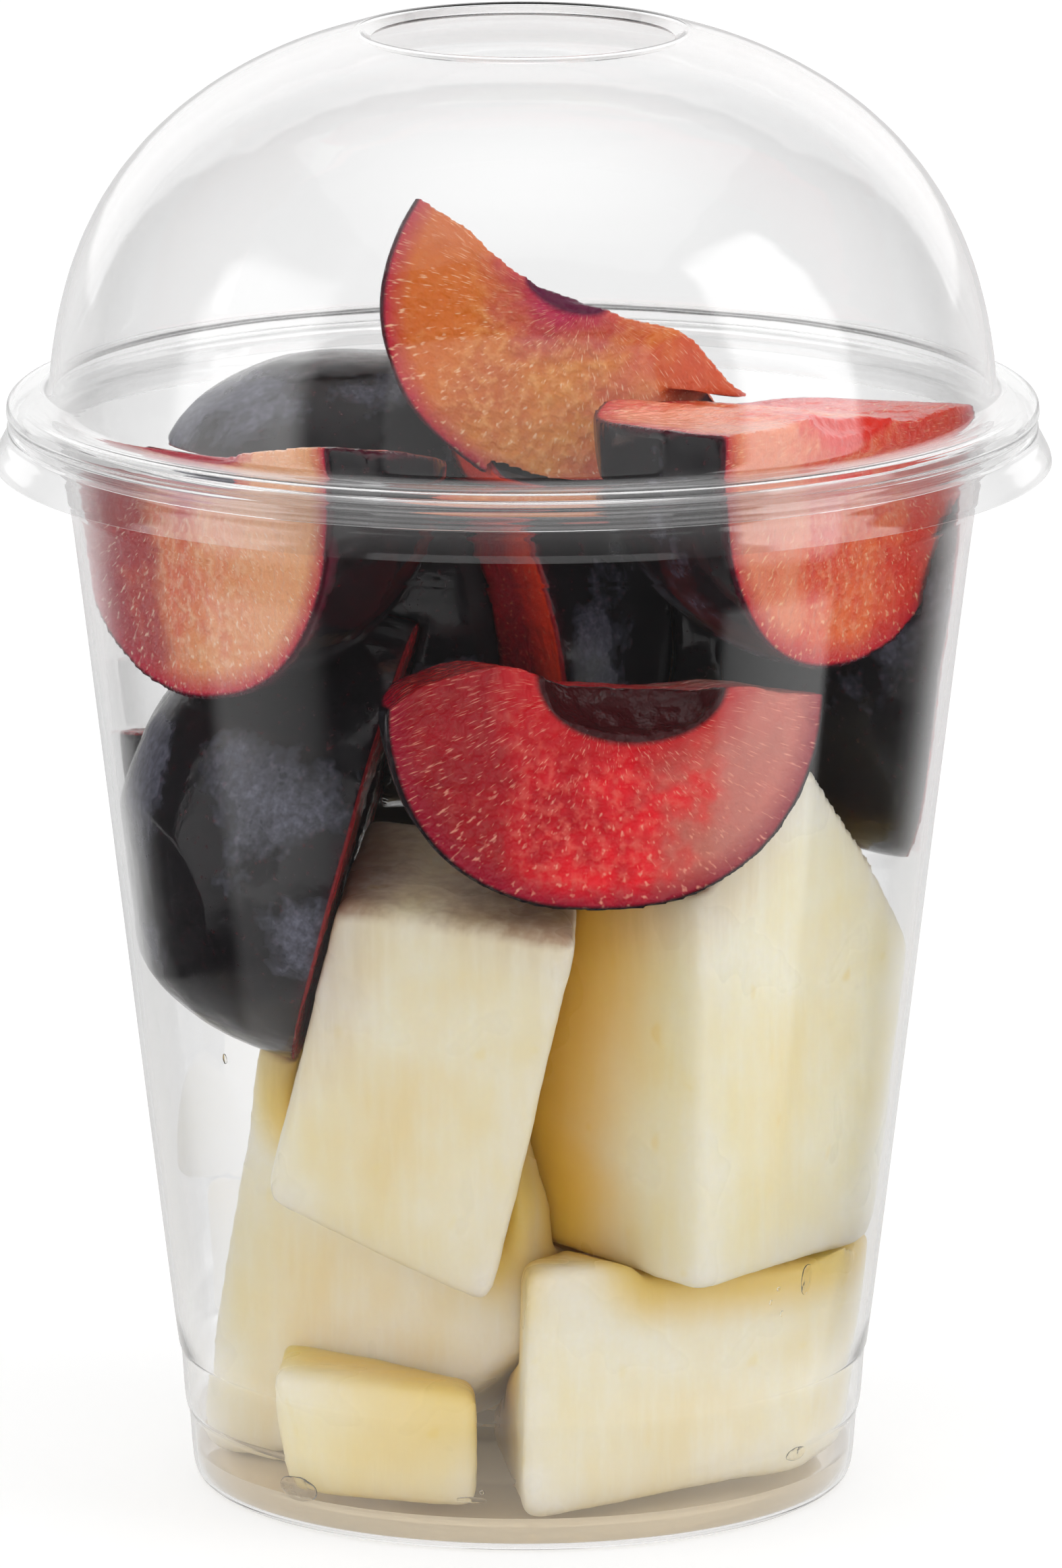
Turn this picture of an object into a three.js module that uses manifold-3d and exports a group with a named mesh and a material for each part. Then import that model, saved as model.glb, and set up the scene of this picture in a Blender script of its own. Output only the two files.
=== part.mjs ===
// A takeaway fruit cup: a clear drinking cup with a domed lid, filled with melon chunks and plum wedges.
// Millimetres, +Z up. The origin is the middle of the cup's foot, on the surface that it stands on.
// -Y is the front. The cup and the lid are each one formed sheet; every piece of fruit is a solid of its own.
import * as THREE from "three";
import { mergeVertices } from "three/addons/utils/BufferGeometryUtils.js";
import { ConvexGeometry } from "three/addons/geometries/ConvexGeometry.js";
import Module from "manifold-3d";

const wasm = await Module();
wasm.setup();

// ---- Driving dimensions -------------------------------------------------------------------------

const SHEET = 0.5; // thickness of the formed plastic
const ROUND_SIDES = 44; // facets round the cup and the lid

const FOOT_RADIUS = 30.4; // outer edge of the foot ring
const WALL_FOOT = { r: 31.6, z: 2 }; // where the wall leaves the foot
const WALL_TOP = { r: 43.9, z: 102.4 }; // where the wall meets the rim
const RIM_RADIUS = 47.7; // outer edge of the curled rim
const RIM_HEIGHT = 104; // top of the curled rim

const DOME_RADIUS = 44.9; // at the flange
const DOME_BASE = 105; // height of the flange's top
const DOME_RISE = 37.05; // from the flange to where the dome would close
const DOME_FLARE = 0.0766; // how much the dome leans in for each millimetre that it rises
const HOLE_RADIUS = 14.3;
const SKIRT_RADIUS = 50; // the lid's lower edge
const SKIRT_EDGE = 98.7;

const PLUM_FULLNESS = 2.25; // 2 would make a plum's sides an ellipse, and more makes them squarer
const PLUM_SIDES = 20; // facets round a plum
const PLUM_RINGS = 12; // facets from its stalk to its tip
const STONE = [9, 5.2]; // half the length and the radius of the hollow that a stone leaves

const FRUIT_GAP = 0.35; // kept between two pieces, and between a piece and the plastic
const CHUNK_ROUNDING = 1.3; // radius of a melon chunk's edges

const CLEAR = { color: 0xf2f4f5, roughness: 0.05, metalness: 0, transparent: true, opacity: 0.35 };
const AMBER_FLESH = { color: 0xd08a55, roughness: 0.35, metalness: 0 };
const ORANGE_FLESH = { color: 0xd8806a, roughness: 0.35, metalness: 0 };
const CRIMSON_FLESH = { color: 0xb23a44, roughness: 0.35, metalness: 0 };
const DARK_SKIN = { color: 0x2b2730, roughness: 0.3, metalness: 0 };
const WHITE_MELON = { color: 0xe6dec2, roughness: 0.4, metalness: 0 };
const YELLOW_MELON = { color: 0xe8d8a4, roughness: 0.4, metalness: 0 };

// ---- Solids -------------------------------------------------------------------------------------

const radians = THREE.MathUtils.degToRad;

/** A closed geometry as a manifold solid. */
function solidOf(geometry) {
  geometry.deleteAttribute("normal");
  geometry.deleteAttribute("uv");
  const merged = mergeVertices(geometry, 1e-4);
  return new wasm.Manifold(
    new wasm.Mesh({
      numProp: 3,
      vertProperties: merged.attributes.position.array,
      triVerts: new Uint32Array(merged.index.array),
    }),
  );
}

/** A manifold solid as a geometry. */
function geometryOf(solid) {
  const made = solid.getMesh();
  const position = new Float32Array(made.numVert * 3);
  for (let i = 0; i < made.numVert; i++)
    position.set(made.vertProperties.subarray(i * made.numProp, i * made.numProp + 3), i * 3);
  const geometry = new THREE.BufferGeometry();
  geometry.setAttribute("position", new THREE.BufferAttribute(position, 3));
  geometry.setIndex(new THREE.BufferAttribute(made.triVerts, 1));
  geometry.computeVertexNormals();
  return geometry;
}

/** A box that holds everything on the inner side of a plane, whose normal points outwards. */
function halfSpace(normal, offset) {
  const reach = 200;
  const n = new THREE.Vector3(...normal).normalize();
  const turn = new THREE.Quaternion().setFromUnitVectors(new THREE.Vector3(0, 0, 1), n);
  const centre = n.clone().multiplyScalar(offset - reach / 2);
  const box = new THREE.BoxGeometry(reach, reach, reach);
  box.applyMatrix4(new THREE.Matrix4().compose(centre, turn, new THREE.Vector3(1, 1, 1)));
  return solidOf(box);
}

/** Turns a profile of [radius, height] points about the Z axis. */
function turned(profile) {
  const points = profile.map(([r, z]) => new THREE.Vector2(r, z));
  return new THREE.LatheGeometry(points, ROUND_SIDES).rotateX(Math.PI / 2);
}

/** The closed outline of a sheet whose outer face follows a path: out along it and back inside it. */
function sheetOutline(path, thickness, startsOnAxis) {
  const inner = path.map(([r, z], i) => {
    const [r0, z0] = path[Math.max(0, i - 1)];
    const [r1, z1] = path[Math.min(path.length - 1, i + 1)];
    const before = new THREE.Vector2(r - r0, z - z0).normalize();
    const after = new THREE.Vector2(r1 - r, z1 - z).normalize();
    const along = before.add(after).normalize();
    const side = new THREE.Vector2(-along.y, along.x).multiplyScalar(thickness);
    return [i === 0 && startsOnAxis ? 0 : r + side.x, z + side.y];
  });
  const outline = [...path, ...inner.reverse()];
  return startsOnAxis ? outline : [...outline, path[0]];
}

// ---- The cup ------------------------------------------------------------------------------------

/** Outer radius of the cup's straight wall at a height. */
function wallRadius(z) {
  const t = (z - WALL_FOOT.z) / (WALL_TOP.z - WALL_FOOT.z);
  return THREE.MathUtils.lerp(WALL_FOOT.r, WALL_TOP.r, t);
}

/** A shallow step, as deep as half the sheet, where the wall widens above a stacking ledge. */
function ledge(z, depth) {
  return [
    [wallRadius(z) - depth, z - 0.5],
    [wallRadius(z) + 0.1, z + 0.4],
  ];
}

const cupPath = [
  [0, 1.5],
  [FOOT_RADIUS - 5.5, 1.1],
  [FOOT_RADIUS - 3.2, 0],
  [FOOT_RADIUS, 0],
  [FOOT_RADIUS + 0.9, 0.7],
  [WALL_FOOT.r, WALL_FOOT.z],
  ...ledge(7, 0.3),
  ...ledge(13.1, 0.3),
  ...ledge(94.8, 0.25),
  [WALL_TOP.r, WALL_TOP.z],
  [WALL_TOP.r + 0.6, RIM_HEIGHT - SHEET - 0.4],
  [WALL_TOP.r + 1.5, RIM_HEIGHT - SHEET],
  [RIM_RADIUS - SHEET - 0.7, RIM_HEIGHT - SHEET - 0.1],
  [RIM_RADIUS - SHEET, RIM_HEIGHT - SHEET - 0.9],
  [RIM_RADIUS - SHEET - 0.1, RIM_HEIGHT - 2.8],
];

function cup() {
  // The rim curls outwards and down, so there the sheet's inner face lies above the path.
  return new THREE.Mesh(
    turned(sheetOutline(cupPath, SHEET, true)),
    new THREE.MeshStandardMaterial(CLEAR),
  );
}

// ---- The domed lid ------------------------------------------------------------------------------

/** The dome's outer radius at a share of its rise: upright at the flange, flatter towards the top. */
function domeRadius(share) {
  const full = DOME_RADIUS * (1 - share ** 2.5) ** (1 / 2.4);
  return full - DOME_FLARE * share * DOME_RISE;
}

function domePath() {
  const shares = [0.94, 0.89, 0.82, 0.73, 0.6, 0.43, 0.22, 0.03];
  return shares.map((s) => [domeRadius(s), DOME_BASE - 0.5 + s * DOME_RISE]);
}

const lidPath = [
  [HOLE_RADIUS, DOME_BASE + 34],
  [HOLE_RADIUS + 1.1, DOME_BASE + 34.9],
  ...domePath(),
  [DOME_RADIUS + 0.6, DOME_BASE],
  [SKIRT_RADIUS - 2.1, DOME_BASE],
  [SKIRT_RADIUS - 1.3, DOME_BASE - 0.6],
  [SKIRT_RADIUS - 1.15, DOME_BASE - 1.6],
  [SKIRT_RADIUS - 1.3, DOME_BASE - 2.8],
  [SKIRT_RADIUS - 0.9, DOME_BASE - 4.2],
  [SKIRT_RADIUS - 0.15, DOME_BASE - 5.6],
  [SKIRT_RADIUS, SKIRT_EDGE],
];

function lid() {
  // Drawn from the hole down to the skirt, the path keeps the inside of the lid on its other hand.
  const outline = sheetOutline(lidPath, -SHEET, false);
  return new THREE.Mesh(turned(outline.reverse()), new THREE.MeshStandardMaterial(CLEAR));
}

/** The space inside the closed cup that fruit can fill, a gap clear of the plastic. */
function cavity() {
  const inset = SHEET + FRUIT_GAP;
  const profile = [
    [0, 1.5 + inset],
    [FOOT_RADIUS - 1.2, 1.5 + inset],
    [WALL_FOOT.r - inset - 0.4, WALL_FOOT.z + 1.4],
    [wallRadius(7) - inset - 0.35, 6.5],
    [wallRadius(13.1) - inset - 0.35, 12.6],
    [wallRadius(94.8) - inset - 0.3, 94.3],
    [WALL_TOP.r - inset, WALL_TOP.z],
    [WALL_TOP.r - inset, DOME_BASE],
    [domeRadius(0.43) - inset, DOME_BASE + 0.43 * DOME_RISE - inset],
    [domeRadius(0.8) - inset, DOME_BASE + 0.8 * DOME_RISE - 2 * inset],
    [0, DOME_BASE + 0.8 * DOME_RISE],
  ];
  return solidOf(turned(profile));
}

// ---- Plum pieces --------------------------------------------------------------------------------
// A plum piece is drawn with the plum's core along X. Its first cut faces -Y. A wedge has a second
// cut at "wedge" degrees to the first, which meets it in the core and faces +Z; 180 is half a plum.
// "beyond" moves the first cut past the core, to leave only the plum's cheek.

/** A whole plum, a little fuller at its shoulders than a ball, with its core along X. */
function wholePlum(halfLength, radius) {
  const outline = [];
  for (let i = 0; i <= PLUM_RINGS; i++) {
    const angle = (Math.PI * i) / PLUM_RINGS;
    const across = Math.sin(angle) ** (2 / PLUM_FULLNESS);
    const along = Math.abs(Math.cos(angle)) ** (2 / PLUM_FULLNESS) * Math.sign(Math.cos(angle));
    outline.push(new THREE.Vector2(i % PLUM_RINGS === 0 ? 0 : radius * across, -halfLength * along));
  }
  return solidOf(new THREE.LatheGeometry(outline, PLUM_SIDES).rotateZ(-Math.PI / 2));
}

function plumPiece({ plum, stone = STONE, wedge = 90, beyond = 0 }, grow = 0) {
  const [halfLength, radius] = plum;
  const whole = wholePlum(halfLength + grow, radius + grow);
  let piece = whole.intersect(halfSpace([0, -1, 0], grow - beyond));
  if (wedge < 180) {
    const angle = radians(wedge);
    piece = piece.intersect(halfSpace([0, Math.cos(angle), Math.sin(angle)], grow));
  }
  if (grow > 0 || beyond > stone[1]) return piece;
  const hollow = new THREE.SphereGeometry(1, 14, 8).rotateZ(Math.PI / 2);
  return piece.subtract(solidOf(hollow.scale(stone[0], stone[1], stone[1])));
}

// ---- Melon chunks -------------------------------------------------------------------------------
// A chunk is drawn with its front, an outline of [x, z] corners, facing -Y. Its back is the same
// outline, "taper" times the size, a "depth" away. Its edges are rounded.

function melonChunk({ outline, depth, taper = 0.92, shift = [0, 0] }, grow = 0) {
  const ball = new THREE.IcosahedronGeometry(CHUNK_ROUNDING + grow, 1).getAttribute("position");
  const inset = CHUNK_ROUNDING * Math.SQRT2;
  const points = [];
  for (const corner of outline) {
    const [x, z] = new THREE.Vector2(...corner).multiplyScalar(1 - inset / Math.hypot(...corner));
    const front = new THREE.Vector3(x, CHUNK_ROUNDING, z);
    const behind = new THREE.Vector3(x * taper + shift[0], depth - CHUNK_ROUNDING, z * taper + shift[1]);
    for (const centre of [front, behind])
      for (let i = 0; i < ball.count; i++)
        points.push(new THREE.Vector3().fromBufferAttribute(ball, i).add(centre));
  }
  return solidOf(new ConvexGeometry(points));
}

// ---- Where the fruit lies ------------------------------------------------------------------------
// "at" is the middle of a plum's core or of a chunk's front. "faces" is the way that the first cut
// or the front looks. "along" is the way that a plum's core runs, or that a chunk's front runs to
// its right. The pieces are in the order in which they keep their shape: one that meets a piece
// listed before it is pressed flat there.

const fruit = [
  {
    name: "plum_front", look: CRIMSON_FLESH,
    plum: [20.8, 21.2], wedge: 80,
    at: [7.8, -33.2, 83.5], faces: [0.22, -1, 0], along: [1, 0.22, -0.07],
  },
  {
    name: "plum_right", look: ORANGE_FLESH,
    plum: [22, 22.8], stone: [8, 2.6], wedge: 88,
    at: [30.6, -18.8, 106], faces: [0.84, -0.54, 0], along: [0.52, 0.85, -0.1],
  },
  {
    name: "plum_left", look: ORANGE_FLESH,
    plum: [22.4, 22.8], stone: [8, 2.6], wedge: 81,
    at: [-30, -18.7, 102.6], faces: [-0.84, -0.54, 0], along: [0.53, -0.82, 0.2],
  },
  {
    name: "plum_upright", look: CRIMSON_FLESH,
    plum: [21, 21], wedge: 90,
    at: [-7, 7.5, 81], faces: [-0.87, -0.5, -0.1], along: [-0.22, 0.1, 1],
  },
  {
    name: "plum_crown", look: AMBER_FLESH,
    plum: [19, 19.2], stone: [9, 1.6], wedge: 62,
    at: [6.3, -3, 114.5], faces: [0, -1, 0.1], along: [0.851, 0, -0.526],
  },
  {
    name: "plum_left_half", look: DARK_SKIN,
    plum: [21.3, 21.3], beyond: -1.4, wedge: 180,
    at: [-16.9, -6, 63.4], faces: [0.965, -0.03, -0.26], along: [0.26, 0, 0.965],
  },
  {
    name: "melon_front_left", look: WHITE_MELON,
    outline: [[-8.6, 16.7], [15.4, 13], [5.8, -23.8], [-16.6, -13.4]],
    depth: 22, shift: [-7, 1],
    at: [-8.9, -30.6, 47.6], faces: [-0.4, -1, -0.06], along: [1, -0.4, 0],
  },
  {
    name: "melon_front_right", look: YELLOW_MELON,
    outline: [[-17, 26], [-1, 24.5], [12, 12], [17.5, 3], [15.8, -26], [-17, -26]],
    depth: 23,
    at: [27.2, -16.6, 50.5], faces: [0.78, -0.62, 0], along: [0.62, 0.78, 0],
  },
  {
    name: "plum_right_upright", look: DARK_SKIN,
    plum: [21, 20.3], wedge: 90,
    at: [39.1, 11, 79.2], faces: [1, 0.02, -0.12], along: [-0.12, 0, -1],
  },
  {
    name: "melon_left", look: WHITE_MELON,
    outline: [[-9.7, 24], [14, 22], [21, 4], [21, -9], [17, -12], [6, -22], [-18.3, -25]],
    depth: 18,
    at: [-17, -11, 26.5], faces: [-0.6, -0.8, 0.03], along: [0.8, -0.6, 0],
  },
  {
    name: "melon_bottom_right", look: WHITE_MELON,
    outline: [[-19, 12.5], [20.5, 11], [19, -10.5], [-19.5, -12]],
    depth: 25, shift: [9, 0],
    at: [17, -22, 14.7], faces: [0.5, -0.87, 0], along: [0.87, 0.5, 0],
  },
  {
    name: "melon_bottom_left", look: YELLOW_MELON,
    outline: [[-10.5, 6.5], [9.8, 6.5], [9.8, -6.5], [-9, -6.5]],
    depth: 20, shift: [-6, 0],
    at: [-13.5, -26, 9.8], faces: [-0.3, -1, 0], along: [1, -0.3, 0],
  },
  {
    name: "plum_left_low", look: DARK_SKIN,
    plum: [20, 20],
    at: [-19.8, 12, 70], faces: [0, 0.18, 1], along: [0, -1, 0.18],
  },
  {
    name: "plum_cheek", look: DARK_SKIN,
    plum: [22.5, 17], beyond: 7, wedge: 180,
    at: [-13.6, 14, 89.2], faces: [-0.08, 0, -1], along: [1, 0, -0.08],
  },
  {
    name: "plum_middle", look: DARK_SKIN,
    plum: [19, 19], wedge: 180,
    at: [-13, 15, 81], faces: [0.2, 1, -0.1], along: [1, -0.2, 0.1],
  },
  {
    name: "plum_back_left", look: DARK_SKIN,
    plum: [21, 21.5], wedge: 85,
    at: [-20, 26, 94], faces: [-0.6, 0.8, 0], along: [-0.8, -0.6, 0.1],
  },
  {
    name: "plum_back_right", look: AMBER_FLESH,
    plum: [21.5, 21.5], wedge: 180,
    at: [14, 27, 76], faces: [0.35, 0.93, 0.1], along: [-0.93, 0.35, 0.1],
  },
  {
    name: "plum_back_low", look: DARK_SKIN,
    plum: [20.5, 20.5], wedge: 100,
    at: [-6, 34, 72], faces: [-0.2, 1, 0], along: [-1, -0.2, 0.1],
  },
  {
    name: "melon_back_right", look: YELLOW_MELON,
    outline: [[-15, 14], [12, 16], [14, -14], [-13, -16]],
    depth: 24,
    at: [20, 20, 45], faces: [0.5, 0.87, 0.05], along: [-0.87, 0.5, 0.1],
  },
  {
    name: "melon_back_left", look: WHITE_MELON,
    outline: [[-12, 14], [12, 12], [13, -16], [-14, -15]],
    depth: 22,
    at: [-12, 25, 38], faces: [-0.3, 0.95, 0.05], along: [-0.95, -0.3, 0.15],
  },
  {
    name: "melon_bottom_back", look: WHITE_MELON,
    outline: [[-14, 10], [15, 9], [13, -11], [-15, -10]],
    depth: 24,
    at: [2, 27, 13.5], faces: [0.1, 1, 0], along: [-1, 0.1, 0],
  },
];

/** The turn that faces a piece's first cut, or its front, the way that it is meant to look. */
function turnOf({ faces, along }) {
  const x = new THREE.Vector3(...along).normalize();
  const front = new THREE.Vector3(...faces);
  const z = new THREE.Vector3().crossVectors(front, x).normalize();
  const y = new THREE.Vector3().crossVectors(z, x);
  return new THREE.Quaternion().setFromRotationMatrix(new THREE.Matrix4().makeBasis(x, y, z));
}

/** The biggest of the pieces that a cut has left; the scraps are dropped. */
function biggest(solid) {
  return solid.decompose().reduce((a, b) => (a.volume() > b.volume() ? a : b));
}

/** Every piece of fruit, cut out of the cup's room and out of the room of the pieces before it. */
function fruitMeshes() {
  const room = cavity();
  const placed = [];
  return fruit.map((spec) => {
    const make = spec.plum ? plumPiece : melonChunk;
    const mesh = new THREE.Mesh();
    mesh.name = spec.name;
    mesh.position.set(...spec.at);
    mesh.quaternion.copy(turnOf(spec));
    mesh.updateMatrix();
    let solid = make(spec).transform(mesh.matrix.toArray()).intersect(room);
    for (const other of placed) solid = solid.subtract(other);
    placed.push(make(spec, FRUIT_GAP).transform(mesh.matrix.toArray()));
    const back = mesh.matrix.clone().invert();
    mesh.geometry = geometryOf(biggest(solid).transform(back.toArray()));
    mesh.material = new THREE.MeshStandardMaterial(spec.look);
    return mesh;
  });
}

// ---- The whole ----------------------------------------------------------------------------------

const fruitCup = new THREE.Group();
const cupMesh = cup();
cupMesh.name = "cup";
const lidMesh = lid();
lidMesh.name = "dome_lid";
fruitCup.add(cupMesh, lidMesh, ...fruitMeshes());

export default fruitCup;
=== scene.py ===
"""A clear domed cup of cut plums and white melon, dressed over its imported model.

Shapes are worked in millimetres, and each finished piece is scaled to metres in its mesh.
"""

import math

import bpy
import numpy as np
from mathutils import Matrix, Vector
from mathutils.bvhtree import BVHTree


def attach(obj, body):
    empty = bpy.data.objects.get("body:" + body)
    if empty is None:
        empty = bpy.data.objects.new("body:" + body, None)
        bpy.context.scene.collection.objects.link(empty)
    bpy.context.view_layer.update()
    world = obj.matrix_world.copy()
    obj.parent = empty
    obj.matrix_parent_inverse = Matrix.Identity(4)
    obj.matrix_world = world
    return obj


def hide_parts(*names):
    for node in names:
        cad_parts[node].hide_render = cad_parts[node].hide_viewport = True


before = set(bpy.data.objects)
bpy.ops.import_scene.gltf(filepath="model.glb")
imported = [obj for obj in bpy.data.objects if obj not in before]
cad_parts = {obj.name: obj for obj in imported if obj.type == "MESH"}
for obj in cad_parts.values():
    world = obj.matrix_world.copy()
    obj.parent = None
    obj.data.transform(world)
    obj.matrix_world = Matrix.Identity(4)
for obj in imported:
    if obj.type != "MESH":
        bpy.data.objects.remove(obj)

bl_info = {
    "name": "Fruit Cup",
    "version": (1, 0, 0),
    "blender": (4, 5, 0),
    "location": "3D View > Sidebar > Fruit Cup",
    "description": "Models a clear domed cup of cut plums and white melon, and its studio stage",
    "category": "Object",
}

MM = 0.001

# ---- Sizes of the plastic, in millimetres --------------------------------------------------------

WALL_FOOT = (31.6, 2.0)
WALL_TOP = (43.9, 102.4)
DOME_RADIUS = 44.9
DOME_BASE = 105.0
DOME_RISE = 37.05
DOME_FLARE = 0.0766
DOME_SHARES = (0.94, 0.91, 0.88, 0.84, 0.79, 0.73, 0.66, 0.58, 0.5, 0.41, 0.32, 0.22, 0.12, 0.03)


def wall_radius(z):
    """Outer radius of the cup's straight wall at a height."""
    share = (z - WALL_FOOT[1]) / (WALL_TOP[1] - WALL_FOOT[1])
    return WALL_FOOT[0] + share * (WALL_TOP[0] - WALL_FOOT[0])


def dome_radius(share):
    """Outer radius of the dome at a share of its rise."""
    return DOME_RADIUS * (1 - share**2.5) ** (1 / 2.4) - DOME_FLARE * share * DOME_RISE


def ledge(z, depth):
    """A shallow step where the wall widens above a stacking ledge."""
    return [(wall_radius(z) - depth, z - 0.5), (wall_radius(z) + 0.1, z + 0.4)]


CUP_PATH = [
    (0, 1.5), (24.9, 1.1), (27.2, 0), (30.4, 0), (31.3, 0.7), WALL_FOOT, *ledge(7, 0.3),
    *ledge(13.1, 0.3), *ledge(94.8, 0.25), WALL_TOP, (44.5, 103.1), (45.4, 103.5), (46.5, 103.4),
    (47.2, 102.6), (47.1, 101.2),
]

LID_PATH = [
    (14.3, 139), (15.4, 139.9),
    *[(dome_radius(share), DOME_BASE - 0.5 + share * DOME_RISE) for share in DOME_SHARES],
    (45.5, 105), (47.9, 105), (48.7, 104.4), (48.85, 103.4), (48.35, 102.7), (48.75, 102.1),
    (48.7, 101.4), (49.1, 100.8), (49.35, 100.3), (49.85, 99.4), (50, 98.7),
]

# ---- The fruit, in millimetres -------------------------------------------------------------------
# A plum piece is drawn with the plum's core along X. Its first cut faces -Y. A wedge has a second
# cut at "wedge" degrees to the first, which meets it in the core and faces +Z; 180 is half a plum.
# "beyond" moves the first cut past the core. A melon chunk's front faces -Y and its outline is in X
# and Z, and "shift" moves its back across and up. "faces" and "along" turn a piece, and each piece
# leaves room for the ones before it. "swell" gives where along the core the second cut is raised,
# by how much and how widely, "bloom_and_highlight" places where the skin has thick bloom, which
# also stands for a painted highlight, and their reach, and "painted_gap_glow" by how much nearer
# other melon a chunk is taken to be for its painted deep-yellow glow in the gaps.

FRUIT = {
    "plum_front": dict(
        plum=(20.8, 21.2), stone=(8.3, 4.4), stone_at=2.4, wedge=80, look="crimson",
        swell=[(-10, 1.9, 5), (13, 0.7, 3), (-21, -2.4, 2.6)],
        at=(7.8, -33.2, 83.5), faces=(0.22, -1, 0), along=(1, 0.22, -0.07),
    ),
    "plum_right": dict(
        plum=(23.3, 23.3), stone=(7, 1.6), wedge=88, look="coral",
        swell=[(-6, 0.8, 4), (12, -0.7, 4)],
        at=(30.6, -18.8, 106), faces=(0.84, -0.54, 0), along=(0.52, 0.85, -0.1),
    ),
    "plum_left": dict(
        plum=(24.4, 22.8), stone=(8, 2.6), wedge=81, look="orange",
        at=(-31.06, -17.06, 102.2), faces=(-0.84, -0.54, 0), along=(0.53, -0.82, 0.2),
    ),
    "plum_upright": dict(
        plum=(21, 21), stone=(9, 5.2), wedge=90, look="scarlet",
        at=(-7, 7.5, 81), faces=(-0.87, -0.5, -0.1), along=(-0.22, 0.1, 1),
        bloom_and_highlight=[(4, -12, 92, 4), (7, -11, 84, 4), (9, -10, 78, 3)],
    ),
    "plum_crown": dict(
        plum=(19, 19.2), stone=(3.4, 1.3), stone_at=-2.2, wedge=62, look="amber",
        swell=[(-7, -1.3, 5), (9.5, 2.3, 4.5)],
        at=(6.3, -3, 114.5), faces=(0, -1, 0.1), along=(0.851, 0, -0.526),
    ),
    "plum_left_half": dict(
        plum=(21.3, 21.3), stone=(9, 5.2), beyond=-1.4, look="dark",
        at=(-16.9, -6, 63.4), faces=(0.965, -0.09, -0.26), along=(0.26, 0, 0.965),
        bloom_and_highlight=[(-24, -25, 71, 9), (-20, -26, 58, 7), (-34, -12, 70, 6), (-33, -12, 54, 5)],
    ),
    "melon_front_left": dict(
        outline=[(-8.6, 14.2), (15.4, 12.6), (5.6, -24.3), (-17, -16)],
        depth=22, shift=(-7, 4), look="white",
        at=(-8.9, -30.6, 47.6), faces=(-0.4, -1, -0.06), along=(1, -0.4, 0),
    ),
    "melon_front_right": dict(
        outline=[(-17, 26), (-1.5, 24.5), (9.8, 11.7), (16.3, 2), (15.8, -26), (-17, -26)],
        depth=23, look="yellow", teeth=((0, 22.8), (11.4, 9.4)),
        at=(27.2, -16.6, 50.5), faces=(0.78, -0.62, 0), along=(0.62, 0.78, 0),
    ),
    "plum_right_upright": dict(
        plum=(21, 20.3), stone=(9, 5.2), wedge=90, look="dark",
        at=(39.1, 11, 79.2), faces=(1, 0.02, -0.12), along=(-0.12, 0, -1),
    ),
    "melon_left": dict(
        outline=[(-9.7, 24), (14, 22), (21, 4), (21, -9), (17, -12), (6, -22), (-18.3, -25)],
        depth=18, look="white",
        at=(-17, -11, 26.5), faces=(-0.6, -0.8, 0.03), along=(0.8, -0.6, 0),
    ),
    "melon_bottom_right": dict(
        outline=[(-19, 12.5), (20.5, 11), (19, -10.5), (-19.5, -12)],
        depth=25, shift=(9, 0), look="white",
        at=(17, -22, 14.7), faces=(0.5, -0.87, 0), along=(0.87, 0.5, 0),
    ),
    "melon_bottom_left": dict(
        outline=[(-10.5, 5.6), (9.8, 5), (9.8, -6.5), (-9, -6.5)],
        depth=20, shift=(-6, 0), look="yellow", painted_gap_glow=3,
        at=(-13.5, -26, 9.8), faces=(-0.3, -1, 0), along=(1, -0.3, 0),
    ),
    "plum_left_low": dict(
        plum=(20, 20), stone=(9, 5.2), wedge=90, look="dark",
        at=(-19.8, 12, 70), faces=(0, 0.18, 1), along=(0, -1, 0.18),
    ),
    "plum_cheek": dict(
        plum=(22.5, 17), beyond=7, look="dark",
        at=(-13.6, 14, 89.2), faces=(-0.08, 0, -1), along=(1, 0, -0.08),
        bloom_and_highlight=[(-28, 6, 104, 9), (-33, 10, 100, 7)],
    ),
    "plum_middle": dict(
        plum=(19, 19), stone=(9, 5.2), look="dark",
        at=(-13, 15, 81), faces=(0.2, 1, -0.1), along=(1, -0.2, 0.1),
    ),
    "plum_back_left": dict(
        plum=(21, 21.5), stone=(9, 5.2), wedge=85, look="dark",
        at=(-20, 26, 94), faces=(-0.6, 0.8, 0), along=(-0.8, -0.6, 0.1),
    ),
    "plum_back_right": dict(
        plum=(21.5, 21.5), stone=(9, 5.2), look="amber",
        at=(14, 27, 76), faces=(0.35, 0.93, 0.1), along=(-0.93, 0.35, 0.1),
    ),
    "plum_back_low": dict(
        plum=(20.5, 20.5), stone=(9, 5.2), wedge=100, look="dark",
        at=(-6, 34, 72), faces=(-0.2, 1, 0), along=(-1, -0.2, 0.1),
    ),
    "melon_back_right": dict(
        outline=[(-15, 14), (12, 16), (14, -14), (-13, -16)],
        depth=24, look="yellow",
        at=(20, 20, 45), faces=(0.5, 0.87, 0.05), along=(-0.87, 0.5, 0.1),
    ),
    "melon_back_left": dict(
        outline=[(-12, 14), (12, 12), (13, -16), (-14, -15)],
        depth=22, look="white",
        at=(-12, 25, 38), faces=(-0.3, 0.95, 0.05), along=(-0.95, -0.3, 0.15),
    ),
    "melon_bottom_back": dict(
        outline=[(-14, 10), (15, 9), (13, -11), (-15, -10)],
        depth=24, look="white",
        at=(2, 27, 13.5), faces=(0.1, 1, 0), along=(-1, 0.1, 0),
    ),
}

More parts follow.
